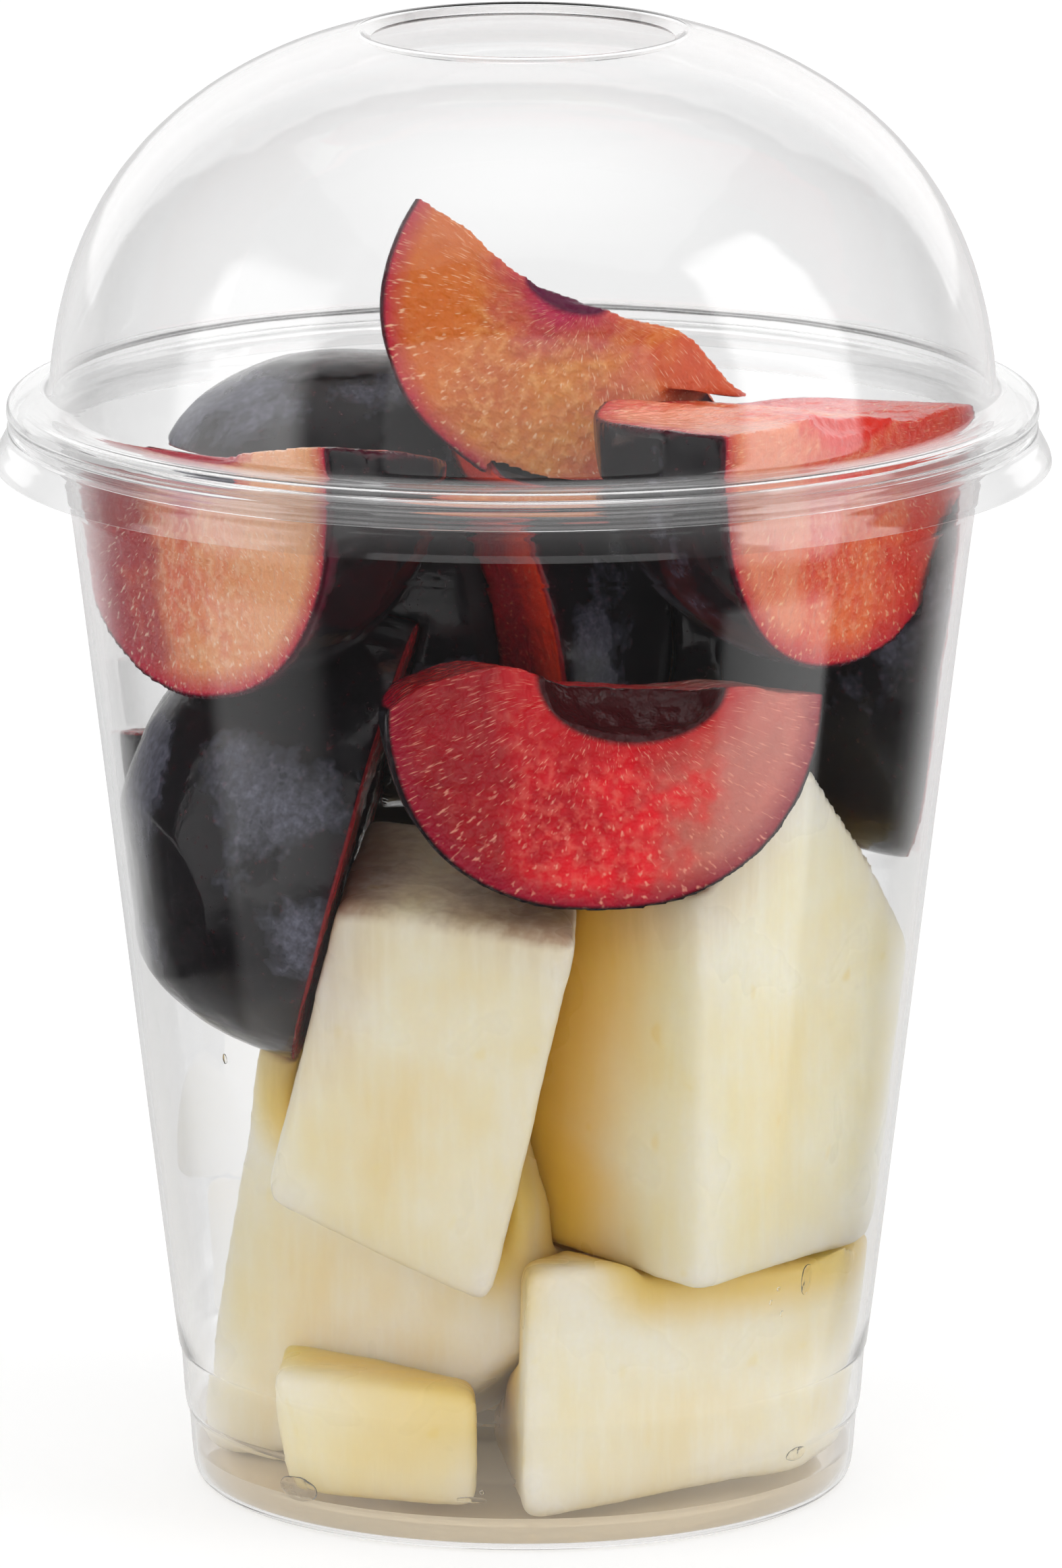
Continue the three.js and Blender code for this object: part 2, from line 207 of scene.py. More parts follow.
PLUM_FULLNESS = 2.25  # 2 would make a plum's sides an ellipse, and more makes them squarer
FRUIT_GAP = 0.35
MELON_TAPER = 0.92  # a chunk's back against its front
MELON_EDGE = 1.3
MELON_SMOOTHING = 50
# Other pieces within this many millimetres give a melon chunk its painted deep-yellow glow in the
# gaps and its plum juice with painted shade.
NEIGHBOUR_REACH = 7  # how near another piece has to be to colour a melon chunk

# The slot name for each look of a fruit.
SLOTS = {
    "crimson": "crimson_plum_flesh",
    "scarlet": "crimson_plum_flesh",
    "coral": "orange_plum_flesh",
    "orange": "orange_plum_flesh",
    "amber": "amber_plum_flesh",
    "dark": "dark_plum_skin",
    "white": "white_melon",
    "yellow": "yellow_melon",
}

# ---- Helpers -------------------------------------------------------------------------------------


def linear(colour):
    """An sRGB hex colour as linear red, green, blue and alpha."""
    parts = [int(colour[i : i + 2], 16) / 255 for i in (1, 3, 5)]
    return [p / 12.92 if p <= 0.04045 else ((p + 0.055) / 1.055) ** 2.4 for p in parts] + [1.0]


def select_only(piece):
    """Deselects everything, then selects one object and makes it active."""
    bpy.ops.object.select_all(action="DESELECT")
    piece.select_set(True)
    bpy.context.view_layer.objects.active = piece


def edit_all(piece):
    """Opens a piece in edit mode with all of it selected."""
    select_only(piece)
    bpy.ops.object.mode_set(mode="EDIT")
    bpy.ops.mesh.select_all(action="SELECT")


def close_edit():
    bpy.ops.object.mode_set(mode="OBJECT")


def turned(name, profile, steps, axis=(0, 0, 1)):
    """A closed body of revolution from a profile of radius and height."""
    mesh = bpy.data.meshes.new(name)
    if axis[2]:
        points = [(r, 0, z) for r, z in profile]
    else:
        points = [(z, r, 0) for r, z in profile]
    mesh.from_pydata(points, [(i, i + 1) for i in range(len(points) - 1)], [])
    piece = bpy.data.objects.new(name, mesh)
    bpy.context.collection.objects.link(piece)
    edit_all(piece)
    bpy.ops.mesh.spin(steps=steps, angle=2 * math.pi, center=(0, 0, 0), axis=axis)
    bpy.ops.mesh.select_all(action="SELECT")
    bpy.ops.mesh.remove_doubles(threshold=1e-3)
    bpy.ops.mesh.normals_make_consistent(inside=False)
    close_edit()
    return piece


def apply_modifier(piece, kind, **settings):
    """Adds a modifier to a piece and applies it."""
    select_only(piece)
    modifier = piece.modifiers.new(kind.title(), kind)
    for name, value in settings.items():
        setattr(modifier, name, value)
    bpy.ops.object.modifier_apply(modifier=modifier.name)


def carve(piece, tool, operation="DIFFERENCE"):
    apply_modifier(piece, "BOOLEAN", object=tool, operation=operation, solver="MANIFOLD")


def uneven(piece, size, strength, depth=2, group=""):
    """Moves the surface in and out by soft noise of a size, both in millimetres."""
    texture = bpy.data.textures.new("unevenness", "CLOUDS")
    texture.noise_scale = size
    texture.noise_depth = depth
    apply_modifier(
        piece, "DISPLACE", texture=texture, strength=strength, mid_level=0.5, vertex_group=group
    )
    bpy.data.textures.remove(texture)


def discard(*pieces):
    for piece in pieces:
        mesh = piece.data
        bpy.data.objects.remove(piece)
        bpy.data.meshes.remove(mesh)


def ball(subdivisions, radius=1):
    """A ball of small triangles at the origin, the only thing selected."""
    bpy.ops.object.select_all(action="DESELECT")
    bpy.ops.mesh.primitive_ico_sphere_add(subdivisions=subdivisions, radius=radius)
    return bpy.context.object


def points_of(piece):
    """The vertices of a piece as an array."""
    flat = np.empty(3 * len(piece.data.vertices))
    piece.data.vertices.foreach_get("co", flat)
    return flat.reshape(-1, 3)


def finished(piece, material, slot, *nodes):
    """Scales a piece to metres, smooths it, gives it its finish and ties it to the frame."""
    piece.data.transform(Matrix.Scale(MM, 4))
    piece.data.materials.clear()
    piece.data.materials.append(material)
    select_only(piece)
    bpy.ops.object.shade_smooth_by_angle(angle=math.radians(50))
    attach(piece, "root")
    if nodes:
        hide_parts(*nodes)
    return piece


def add(tree, kind, sockets=None, stops=(), **settings):
    """Adds a shader node. A socket given a node or an output is linked; any other value is set."""
    node = tree.nodes.new("ShaderNode" + kind)
    for name, value in settings.items():
        setattr(node, name, value)
    for key, value in (sockets or {}).items():
        if isinstance(key, str):
            socket = next(s for s in node.inputs if s.name == key and s.enabled)
        else:
            socket = node.inputs[key]
        if isinstance(value, bpy.types.Node):
            value = next(s for s in value.outputs if s.enabled)
        if isinstance(value, bpy.types.NodeSocket):
            tree.links.new(value, socket)
        else:
            socket.default_value = value
    for position, colour in stops:
        if position == stops[0][0]:
            node.color_ramp.elements.remove(node.color_ramp.elements[1])
            element = node.color_ramp.elements[0]
            element.position = position
        else:
            element = node.color_ramp.elements.new(position)
        element.color = linear(colour)
    return node


def new_material(name):
    """An empty node material and its node tree."""
    material = bpy.data.materials.new(name)
    material.use_nodes = True
    material.node_tree.nodes.clear()
    return material, material.node_tree


# ---- Materials -----------------------------------------------------------------------------------


def clear_pet():
    """Thermoformed clear PET: glossy, almost colourless, IOR 1.57, and a little milky where the
    eye meets the sheet at a slant and looks through more of it."""
    material, tree = new_material("Clear PET, thermoformed")
    sheet = add(
        tree, "BsdfPrincipled",
        {"Base Color": linear("#ffffff"), "Roughness": 0.02, "IOR": 1.57,
         "Transmission Weight": 1.0},
    )
    slant = add(tree, "LayerWeight").outputs["Facing"]
    haze = add(
        tree, "MapRange",
        {"Value": slant, "From Min": 0.55, "From Max": 1.0, "To Min": 0.003, "To Max": 0.4},
    )
    # The rim and the skirt aren't drawn as thin as the wall, and look milkier.
    height = add(tree, "SeparateXYZ", {0: add(tree, "TexCoord").outputs["Object"]}).outputs["Z"]
    for low, high, change in ((0.098, 0.103, "ADD"), (0.1046, 0.106, "SUBTRACT")):
        rim = add(
            tree, "MapRange", {"Value": height, "From Min": low, "From Max": high, "To Max": 0.03}
        )
        haze = add(tree, "Math", {0: haze, 1: rim}, operation=change)
    lit = add(tree, "BsdfDiffuse", {"Color": linear("#f6f6f6")})
    crossed = add(tree, "BsdfTranslucent", {"Color": linear("#f6f6f6")})
    milky = add(tree, "MixShader", {0: 0.5, 1: lit, 2: crossed})
    hazy = add(tree, "MixShader", {0: haze, 1: sheet, 2: milky})
    shadow = add(tree, "LightPath").outputs["Is Shadow Ray"]
    through = add(tree, "BsdfTransparent", {"Color": linear("#f8f8f8")})
    mixed = add(tree, "MixShader", {0: shadow, 1: hazy, 2: through})
    add(tree, "OutputMaterial", {"Surface": mixed})
    return material


# The colours of a plum from the hollow of its stone to its skin, with those of its two ends along
# the core. "shaded_hollow" is the flesh that lines the stone's hollow, darkened partly by its own
# deep red and partly as painted shade in the hollow. "reach" is how many millimetres the red round
# the stone goes into the flesh, and "under_skin" is the share of the plum's depth at which the red
# under the skin starts.
PLUM_TONES = {
    "amber": dict(
        flesh="#d88434", pale="#f0b270", blush="#c86a30", start="#cc6418", end="#d05c44",
        heart="#b42850", rim="#b41c3c", fleck="#ffe0b8", shaded_hollow="#5a1838", line="#40101e",
        juice="#561028", reach=6.0, under_skin=0.9,
    ),
    "orange": dict(
        flesh="#eaa070", pale="#f8ccaa", blush="#e07c60", start="#a42048", end="#f0b080",
        heart="#c42c48", rim="#bc183c", fleck="#ffe6cc", shaded_hollow="#b83040", line="#40081a",
        juice="#842440", reach=2.5, under_skin=0.9,
    ),
    "coral": dict(
        flesh="#ec7040", pale="#f4a078", blush="#e04c34", start="#f09470", end="#d83024",
        heart="#e6281c", rim="#c0182c", fleck="#ffd0a0", shaded_hollow="#e02c1a", line="#40081a",
        juice="#641428", reach=2.5, under_skin=0.9,
    ),
    "crimson": dict(
        flesh="#f01c28", pale="#f27464", blush="#bc0c1c", start="#860818", end="#cc8272",
        heart="#c40818", rim="#98062a", fleck="#ffb498", shaded_hollow="#3c0a0e", line="#16080e",
        juice="#360a16", reach=4.5, under_skin=0.9,
    ),
    "scarlet": dict(
        flesh="#a81424", pale="#c02028", blush="#8a101e", start="#a81424", end="#a81424",
        heart="#7c0c1a", rim="#ff4a2a", fleck="#e86c50", shaded_hollow="#400a14", line="#8c1820",
        juice="#480c1a", reach=5.0, under_skin=0.74,
    ),
    "dark": dict(
        flesh="#a8282c", pale="#c44c44", blush="#84121f", start="#a01c28", end="#a01c28",
        heart="#5a0c1c", rim="#d43038", fleck="#d88068", shaded_hollow="#26060e", line="#8c1c24",
        juice="#3c0c1c", reach=4.0, under_skin=0.9,
    ),
}


def plum_material(look):
    """Ripe plum, cut with a knife: wet translucent flesh in small clumps, with fibres that run out
    from the stone, and a nearly black skin, glossy where wet and blue-grey where it has bloom; the
    bloom is laid on thick in given places as a painted highlight."""
    tones = PLUM_TONES[look]
    colours = {name: linear(tone) for name, tone in tones.items() if isinstance(tone, str)}
    material, tree = new_material(f"Plum, {look}, cut and wet")
    place = add(tree, "Attribute", attribute_name="place").outputs["Vector"]
    depth, stone, cut, bloom_and_highlight = (
        add(tree, "Attribute", attribute_name=name).outputs["Fac"]
        for name in ("depth", "stone", "cut", "bloom_and_highlight")
    )

    # Fibres are about 0.25 mm wide half way out and 1 mm long, and point away from the core.
    outward = add(tree, "VectorMath", {0: place, 1: (0.5, 1, 1)}, operation="MULTIPLY")
    way = add(tree, "VectorMath", {0: outward}, operation="NORMALIZE")
    reach = add(tree, "VectorMath", {0: outward}, operation="LENGTH").outputs["Value"]
    spread = add(tree, "VectorMath", {0: way, 1: (64, 64, 64)}, operation="MULTIPLY")
    length = add(tree, "Math", {0: reach, 1: 1.4}, operation="MULTIPLY")
    fibre = add(
        tree, "TexNoise",
        {"Vector": spread, "W": length, "Scale": 1.0, "Detail": 1.0, "Roughness": 0.6},
        noise_dimensions="4D",
    )
    # Clumps of cells are about a millimetre across, mottling 8 mm and the clouds of the bloom
    # 20 mm, and the specks of the skin are under a millimetre.
    clump, mottle, cloud, specks = (
        add(
            tree, "TexNoise",
            {"Vector": place, "Scale": scale, "Detail": detail, "Roughness": rough},
        )
        for scale, detail, rough in (
            (0.9, 2.0, 0.6), (0.13, 3.0, 0.62), (0.055, 5.0, 0.68), (1.3, 2.0, 0.75)
        )
    )

    # The flesh changes colour from one end of the core to the other, darker red towards one end in
    # the crimson look, and the red spreads raggedly from the stone and again under the skin.
    along = add(tree, "SeparateXYZ", {0: place}).outputs["X"]
    drift = add(tree, "Math", {0: mottle, 1: 26.0, 2: along}, operation="MULTIPLY_ADD")
    ragged = add(tree, "Math", {0: mottle, 1: -9.0, 2: stone}, operation="MULTIPLY_ADD")
    uneven_depth = add(tree, "Math", {0: clump, 1: 0.06, 2: depth}, operation="MULTIPLY_ADD")
    # Each layer's colour, what it follows, from where to where, and how much there.
    layers = (
        ("blush", mottle, 0.4, 0.62, 0.0, 1.0, "LINEAR"),
        ("pale", clump, 0.46, 0.7, 0.0, 0.55, "LINEAR"),
        ("start", drift, 9.5, -0.5, 0.0, 0.8, "SMOOTHSTEP"),
        ("end", drift, 15.0, 26.0, 0.0, 0.8, "SMOOTHSTEP"),
        ("heart", ragged, -4.6, tones["reach"] - 4.2, 1.0, 0.0, "LINEAR"),
        ("rim", uneven_depth, tones["under_skin"], 1.01, 0.0, 1.0, "LINEAR"),
        ("fleck", fibre, 0.6, 0.74, 0.0, 0.6, "LINEAR"),
        # The stone's hollow: its own deep red, and painted shade in it.
        ("shaded_hollow", stone, 0.5, 1.1, 1.0, 0.0, "LINEAR"),
        ("line", depth, 0.972, 0.988, 0.0, 1.0, "LINEAR"),
    )
    flesh = colours["flesh"]
    for tone, value, first, last, least, most, kind in layers:
        share = add(
            tree, "MapRange",
            {"Value": value, "From Min": first, "From Max": last, "To Min": least, "To Max": most},
            interpolation_type=kind,
        )
        flesh = add(
            tree, "Mix", {"Factor": share, "A": flesh, "B": colours[tone]}, data_type="RGBA"
        )

    # Skin starts a quarter of a millimetre from a cut, and juice stains it near one.
    # Bloom lies in soft clouds on the skin, and thick at the given places, where it is also a
    # painted highlight; the bloom share below carries both.
    cloudy = add(tree, "Math", {0: bloom_and_highlight, 1: 0.2, 2: cloud}, operation="MULTIPLY_ADD")
    spill = add(tree, "Math", {0: cloud, 1: 9.0, 2: cut}, operation="MULTIPLY_ADD")
    away, outer, bloom, juicy = (
        add(
            tree, "MapRange",
            {"Value": value, "From Min": first, "From Max": last, "To Min": least, "To Max": most},
        )
        for value, first, last, least, most in (
            (cut, 0.2, 0.34, 0.0, 1.0), (depth, 0.76, 0.8, 0.0, 1.0), (cloudy, 0.6, 0.72, 0.0, 1.0),
            (spill, 3.4, 5.6, 0.8, 0.0),
        )
    )
    skinned = add(tree, "Math", {0: away, 1: outer}, operation="MULTIPLY")
    skin = add(
        tree, "ValToRGB", {0: specks},
        stops=[(0.3, "#09080a"), (0.56, "#131014"), (0.66, "#241014"), (0.76, "#46161c")],
    )
    # The blue-grey of bloom, which also serves for the painted highlights.
    bloom_and_highlight_colour = add(
        tree, "ValToRGB", {0: specks}, stops=[(0.3, "#3a3a44"), (0.5, "#50505e"), (0.7, "#686878")],
    )
    for share, over in ((bloom, bloom_and_highlight_colour), (juicy, colours["juice"])):
        skin = add(tree, "Mix", {"Factor": share, "A": skin, "B": over}, data_type="RGBA")
    colour = add(tree, "Mix", {"Factor": skinned, "A": flesh, "B": skin}, data_type="RGBA")

    skin_gloss = add(tree, "MapRange", {"Value": bloom, "To Min": 0.12, "To Max": 0.4})
    gloss = add(tree, "Mix", {"Factor": skinned, "A": 0.22, "B": skin_gloss})
    glow = add(tree, "MapRange", {"Value": skinned, "To Min": 0.15, "To Max": 0.0})
    strength = add(tree, "MapRange", {"Value": skinned, "To Min": 0.7, "To Max": 0.1})
    bump = add(tree, "Bump", {"Strength": strength, "Distance": 0.0004, "Height": clump})
    body = add(
        tree, "BsdfPrincipled",
        {"Base Color": colour, "Roughness": gloss, "IOR": 1.4, "Subsurface Weight": glow,
         "Subsurface Radius": (1.0, 0.3, 0.2), "Subsurface Scale": 0.002, "Normal": bump},
    )
    add(tree, "OutputMaterial", {"Surface": body})
    return material


# Each look's pale and deep flesh and specks, how strong its painted deep-yellow glow is in the gaps
# between chunks, where light passes through the melon, and how many millimetres from other melon
# that glow reaches.
MELON_TONES = {
    "white": dict(pale="#fcf0d8", deep="#f5e1b4", speck="#f4dea0", painted_gap_glow=0.75, reach=6.0),
    "yellow": dict(pale="#fff4dc", deep="#fbe8ba", speck="#f4d682", painted_gap_glow=0.9, reach=12.0),
}


def melon_material(look):
    """Ripe melon without its rind, cut with a knife: pale, watery flesh that light goes deep into,
    with a painted deep-yellow glow where two chunks meet, and pinkish brown near the plums, partly
    plum juice that has run on it and partly painted shade under them."""
    tones = MELON_TONES[look]
    material, tree = new_material(f"Melon, {look}, cut and wet")
    place = add(tree, "Attribute", attribute_name="place").outputs["Vector"]
    to_melon, to_plum = (
        add(tree, "Attribute", attribute_name=name).outputs["Fac"]
        for name in ("to_melon", "to_plum")
    )
    cloud = add(
        tree, "TexNoise", {"Vector": place, "Scale": 0.08, "Detail": 2.0, "Roughness": 0.55}
    )
    colour = add(tree, "ValToRGB", {0: cloud}, stops=[(0.35, tones["pale"]), (0.68, tones["deep"])])
    # Fibres lie along the chunk, under a millimetre thick and several long, and cells are about
    # half a millimetre across.
    drawn = add(tree, "VectorMath", {0: place, 1: (1, 1, 0.16)}, operation="MULTIPLY")
    fibre = add(tree, "TexNoise", {"Vector": drawn, "Scale": 0.7, "Detail": 3.0, "Roughness": 0.6})
    cells = add(tree, "TexVoronoi", {"Vector": place, "Scale": 1.6, "Randomness": 1.0})
    spot = add(tree, "TexNoise", {"Vector": place, "Scale": 0.3, "Detail": 1.0})
    ragged = add(tree, "Math", {0: fibre, 1: 5.0, 2: to_plum}, operation="MULTIPLY_ADD")
    # Each layer's colour, what it follows, from where to where, and how much there.
    layers = (
        ("#fffaee", fibre, 0.45, 0.8, 0.0, 0.3, "LINEAR"),
        ("#eedcae", cells.outputs["Distance"], 0.1, 0.7, 0.0, 0.1, "LINEAR"),
        (tones["speck"], spot, 0.7, 0.78, 0.0, 0.4, "LINEAR"),
        # Painted glow: deep yellow in the gaps near other melon, standing in for light passed
        # through the melon.
        ("#fcc430", to_melon, 0.3, tones["reach"], tones["painted_gap_glow"], 0.0, "SMOOTHSTEP"),
        # Plum juice run onto the chunk, darkened as painted shade under the plums above it.
        ("#86604e", ragged, 2.4, 11.0, 0.9, 0.0, "SMOOTHSTEP"),
    )
    # The last of them is plum juice with painted shade under the plums, and lies on what faces up
    # and hardly on the sides.
    upward = add(tree, "SeparateXYZ", {0: add(tree, "NewGeometry").outputs["Normal"]})
    lying = add(
        tree, "MapRange",
        {"Value": upward.outputs["Z"], "From Min": 0.15, "From Max": 0.6, "To Min": 0.3},
    )
    for tone, value, first, last, least, most, kind in layers:
        share = add(
            tree, "MapRange",
            {"Value": value, "From Min": first, "From Max": last, "To Min": least, "To Max": most},
            interpolation_type=kind,
        )
        if value == ragged:
            share = add(tree, "Math", {0: share, 1: lying}, operation="MULTIPLY")
        colour = add(
            tree, "Mix", {"Factor": share, "A": colour, "B": linear(tone)}, data_type="RGBA"
        )
    bump = add(tree, "Bump", {"Strength": 0.25, "Distance": 0.0002, "Height": fibre})
    gloss = add(tree, "MapRange", {"Value": cloud, "To Min": 0.18, "To Max": 0.4})
    flesh = add(
        tree, "BsdfPrincipled",
        {"Base Color": colour, "Roughness": gloss, "IOR": 1.36, "Subsurface Weight": 0.65,
         "Subsurface Radius": (1.0, 0.9, 0.6), "Subsurface Scale": 0.018, "Normal": bump},
    )
    add(tree, "OutputMaterial", {"Surface": flesh})
    return material


# ---- The cup and its lid -------------------------------------------------------------------------


def rounded(path, cut=0.35, steps=3):
    """A path with each inner corner drawn as a short curve."""
    points = [Vector(p) for p in path]
    smooth = [points[0]]
    for before, corner, after in zip(points, points[1:], points[2:]):
        start = corner.lerp(before, cut)
        end = corner.lerp(after, cut)
        for i in range(steps + 1):
            t = i / steps
            smooth.append(start.lerp(corner, t).lerp(corner.lerp(end, t), t))
    return smooth + [points[-1]]


def sheet_profile(path, thickness, starts_on_axis):
    """The outline of a sheet of that thickness on the inner side of a path."""
    inner = []
    for i, point in enumerate(path):
        before = path[max(0, i - 1)]
        after = path[min(len(path) - 1, i + 1)]
        along = (after - before).normalized()
        side = Vector((-along.y, along.x)) * thickness
        x = 0 if i == 0 and starts_on_axis else point.x + side.x
        inner.append(Vector((x, point.y + side.y)))
    outline = list(path) + inner[::-1]
    return outline if starts_on_axis else outline + outline[:1]


# ---- The fruit's shapes --------------------------------------------------------------------------


def cavity():
    """The room inside the closed cup that fruit can fill."""
    inset = 0.85
    profile = [
        (0, 2.35), (29.2, 2.35), (30.35, 3.4), (wall_radius(7) - inset - 0.35, 6.5),
        (wall_radius(13.1) - inset - 0.35, 12.6), (wall_radius(94.8) - inset - 0.3, 94.3),
        (WALL_TOP[0] - inset, WALL_TOP[1]), (WALL_TOP[0] - inset, DOME_BASE),
        (dome_radius(0.43) - inset, DOME_BASE + 0.43 * DOME_RISE - inset),
        (dome_radius(0.8) - inset, DOME_BASE + 0.8 * DOME_RISE - 2 * inset),
        (0, DOME_BASE + 0.8 * DOME_RISE),
    ]
    return turned("cavity", profile, 96)


def slice_off(piece, point, normal):
    """Cuts a piece with a plane and closes it, keeping what the normal points away from."""
    edit_all(piece)
    bpy.ops.mesh.bisect(
        plane_co=point, plane_no=normal, use_fill=True, clear_outer=True, threshold=1e-5
    )
    close_edit()


def plum_piece(spec, grow=0.0):
    """A cut plum, before it is turned and placed."""
    half, radius = spec["plum"]
    power = 2 / PLUM_FULLNESS
    rings = 44
    profile = []
    for i in range(rings + 1):
        angle = math.pi * i / rings
        across = math.sin(angle) ** power if 0 < i < rings else 0
        along = math.copysign(abs(math.cos(angle)) ** power, math.cos(angle))
        profile.append(((radius + grow) * across, -(half + grow) * along))
    piece = turned("plum", profile, 96, axis=(1, 0, 0))
    slice_off(piece, (0, spec.get("beyond", 0) - grow, 0), (0, -1, 0))
    wedge = math.radians(spec.get("wedge", 180))
    if wedge < math.pi:
        normal = Vector((0, math.cos(wedge), math.sin(wedge)))
        slice_off(piece, normal * grow, normal)
    if grow == 0 and "stone" in spec:
        stone = ball(5)
        length, thick = spec["stone"]
        stone.data.transform(Matrix.Diagonal((length, thick, thick, 1)))
        uneven(stone, 2.5, 1.1, depth=3)
        stone.data.transform(Matrix.Translation((spec.get("stone_at", 0), 0, 0)))
        carve(piece, stone)
        discard(stone)
    return piece


def melon_chunk(spec, grow=0.0):
    """A melon chunk with softened edges, before it is turned and placed."""
    outline = spec["outline"]
    across, up = spec.get("shift", (0, 0))
    bpy.ops.object.select_all(action="DESELECT")
    bpy.ops.mesh.primitive_circle_add(vertices=len(outline), fill_type="NGON")
    piece = bpy.context.object
    for vertex, (x, z) in zip(piece.data.vertices, outline):
        vertex.co = (x, 0, z)
    edit_all(piece)
    bpy.ops.mesh.extrude_region_move(TRANSFORM_OT_translate={"value": (across, spec["depth"], up)})
    bpy.ops.transform.resize(
        value=(MELON_TAPER, 1, MELON_TAPER), center_override=(across, spec["depth"], up)
    )
    bpy.ops.mesh.select_all(action="SELECT")
    bpy.ops.mesh.normals_make_consistent(inside=False)
    bpy.ops.mesh.bevel(offset=MELON_EDGE, segments=3, affect="EDGES")
    close_edit()
    if grow:
        apply_modifier(piece, "TRIANGULATE")
        apply_modifier(piece, "DISPLACE", strength=grow, mid_level=0)
    return piece


def place_of(spec):
    """The matrix that turns and moves a piece to its place."""
    x = Vector(spec["along"]).normalized()
    z = Vector(spec["faces"]).cross(x).normalized()
    y = z.cross(x)
    turn = Matrix((x, y, z)).transposed().to_4x4()
    return Matrix.Translation(spec["at"]) @ turn


def raw_piece(spec, grow=0.0):
    piece = plum_piece(spec, grow) if "plum" in spec else melon_chunk(spec, grow)
    piece.data.transform(place_of(spec))
    return piece


def local_points(piece, spec):
    """The vertices of a placed piece as they lay before it was turned and moved."""
    inverse = np.array(place_of(spec).inverted())
    return points_of(piece) @ inverse[:3, :3].T + inverse[:3, 3]


def move_points(piece, points):
    """Gives the vertices of a piece new places."""
    piece.data.vertices.foreach_set("co", points.ravel())
    piece.data.update()


def move_local_points(piece, spec, local):
    """Moves the vertices of a placed piece to where they lay before it was turned and moved."""
    turn = np.array(place_of(spec))
    move_points(piece, local @ turn[:3, :3].T + turn[:3, 3])


def near(piece, other, margin=0):
    """Whether the boxes of two pieces come that close."""
    a, b = points_of(piece), points_of(other)
    return bool(((a.min(0) - margin < b.max(0)) & (b.min(0) - margin < a.max(0))).all())


def keep_biggest(piece):
    """Drops the scraps that a cut has left."""
    edit_all(piece)
    bpy.ops.mesh.separate(type="LOOSE")
    close_edit()
    parts = sorted(bpy.context.selected_objects, key=lambda part: len(part.data.vertices))
    discard(*parts[:-1])
    return parts[-1]


def jag(piece, spec):
    """Cuts small teeth along an edge of a chunk's front, as a blunt knife leaves."""
    local = local_points(piece, spec)
    start, end = (np.array(corner) for corner in spec["teeth"])
    length = np.linalg.norm(end - start)
    way = (end - start) / length
    side = np.array((way[1], -way[0]))
    offset = local[:, [0, 2]] - start
    along, across = offset @ way, offset @ side
    tooth = np.abs(((along / 1.25 + 0.15 * np.sin(along * 2.1)) % 1) - 0.5) * 2
    ends = np.clip(along, 0, 1) * np.clip(length - along, 0, 1)
    depth = np.clip(1 - np.abs(across) / 1.8, 0, 1) * np.clip(1 - local[:, 1] / 6, 0, 1)
    push = 0.6 * tooth * depth * ends
    local[:, 0] += push * side[0]
    local[:, 2] += push * side[1]
    move_local_points(piece, spec, local)


def swell(piece, spec):
    """Raises or lowers a wedge's second cut here and there, as soft flesh gives under a knife."""
    local = local_points(piece, spec)
    wedge = math.radians(spec["wedge"])
    normal = np.array((0, math.cos(wedge), math.sin(wedge)))
    near_cut = np.clip(1 - np.abs(local @ normal) / 7, 0, 1)
    for along, amount, width in spec["swell"]:
        lift = amount * near_cut * np.exp(-(((local[:, 0] - along) / width) ** 2))
        local += lift[:, None] * normal
    move_local_points(piece, spec, local)


def mark_plum(piece, spec):
    """Stores where each point lies in its plum: its place, its depth and how far from a cut."""
    local = local_points(piece, spec)
    half, radius = spec["plum"]
    around = np.hypot(local[:, 1], local[:, 2])
    power = PLUM_FULLNESS
    depth = ((np.abs(local[:, 0]) / half) ** power + (around / radius) ** power) ** (1 / power)
    cut = np.abs(local[:, 1] - spec.get("beyond", 0))
    wedge = math.radians(spec.get("wedge", 180))
    if wedge < math.pi:
        cut = np.minimum(cut, np.abs(math.cos(wedge) * local[:, 1] + math.sin(wedge) * local[:, 2]))
    length, thick = spec.get("stone", (9, 5.2))
    along = local[:, 0] - spec.get("stone_at", 0)
    share = np.hypot(along / length, around / thick)
    stone = np.hypot(along, around) * (1 - 1 / share)
    if "stone" in spec:
        cut = np.where(stone < 1.2, 0, cut)
    store(piece, "stone", "FLOAT", "value", stone)
    store(piece, "place", "FLOAT_VECTOR", "vector", local)
    store(piece, "depth", "FLOAT", "value", depth)
    store(piece, "cut", "FLOAT", "value", cut)
    # Places given for thick bloom, which also stands for a painted highlight on the skin.
    points = points_of(piece)
    bloom_and_highlight = np.zeros(len(points))
    for *centre, reach in spec.get("bloom_and_highlight", []):
        away = np.linalg.norm(points - centre, axis=1)
        bloom_and_highlight = np.maximum(bloom_and_highlight, np.clip(1.4 - 1.2 * away / reach, 0, 1))
    store(piece, "bloom_and_highlight", "FLOAT", "value", bloom_and_highlight)
    flesh = piece.vertex_groups.new(name="flesh")
    flesh.add(np.nonzero((cut < 0.3) & (depth < 0.96))[0].tolist(), 1.0, "REPLACE")


def mark_melon(piece, spec, rooms):
    """Stores where each point lies in its chunk, and how far it is from other fruit."""
    store(piece, "place", "FLOAT_VECTOR", "vector", local_points(piece, spec))
    for kind in ("melon", "plum"):
        others = [
            room for name, room in rooms
            if name.startswith(kind)
            and "melon_bottom" not in name
            and near(piece, room, NEIGHBOUR_REACH)
        ]
        # A chunk can be taken nearer other melon than it is, which widens its painted glow in the
        # gaps.
        nearer = spec.get("painted_gap_glow", 0) if kind == "melon" else 0
        away = distance_to(points_of(piece), others)
        store(piece, "to_" + kind, "FLOAT", "value", away - nearer)


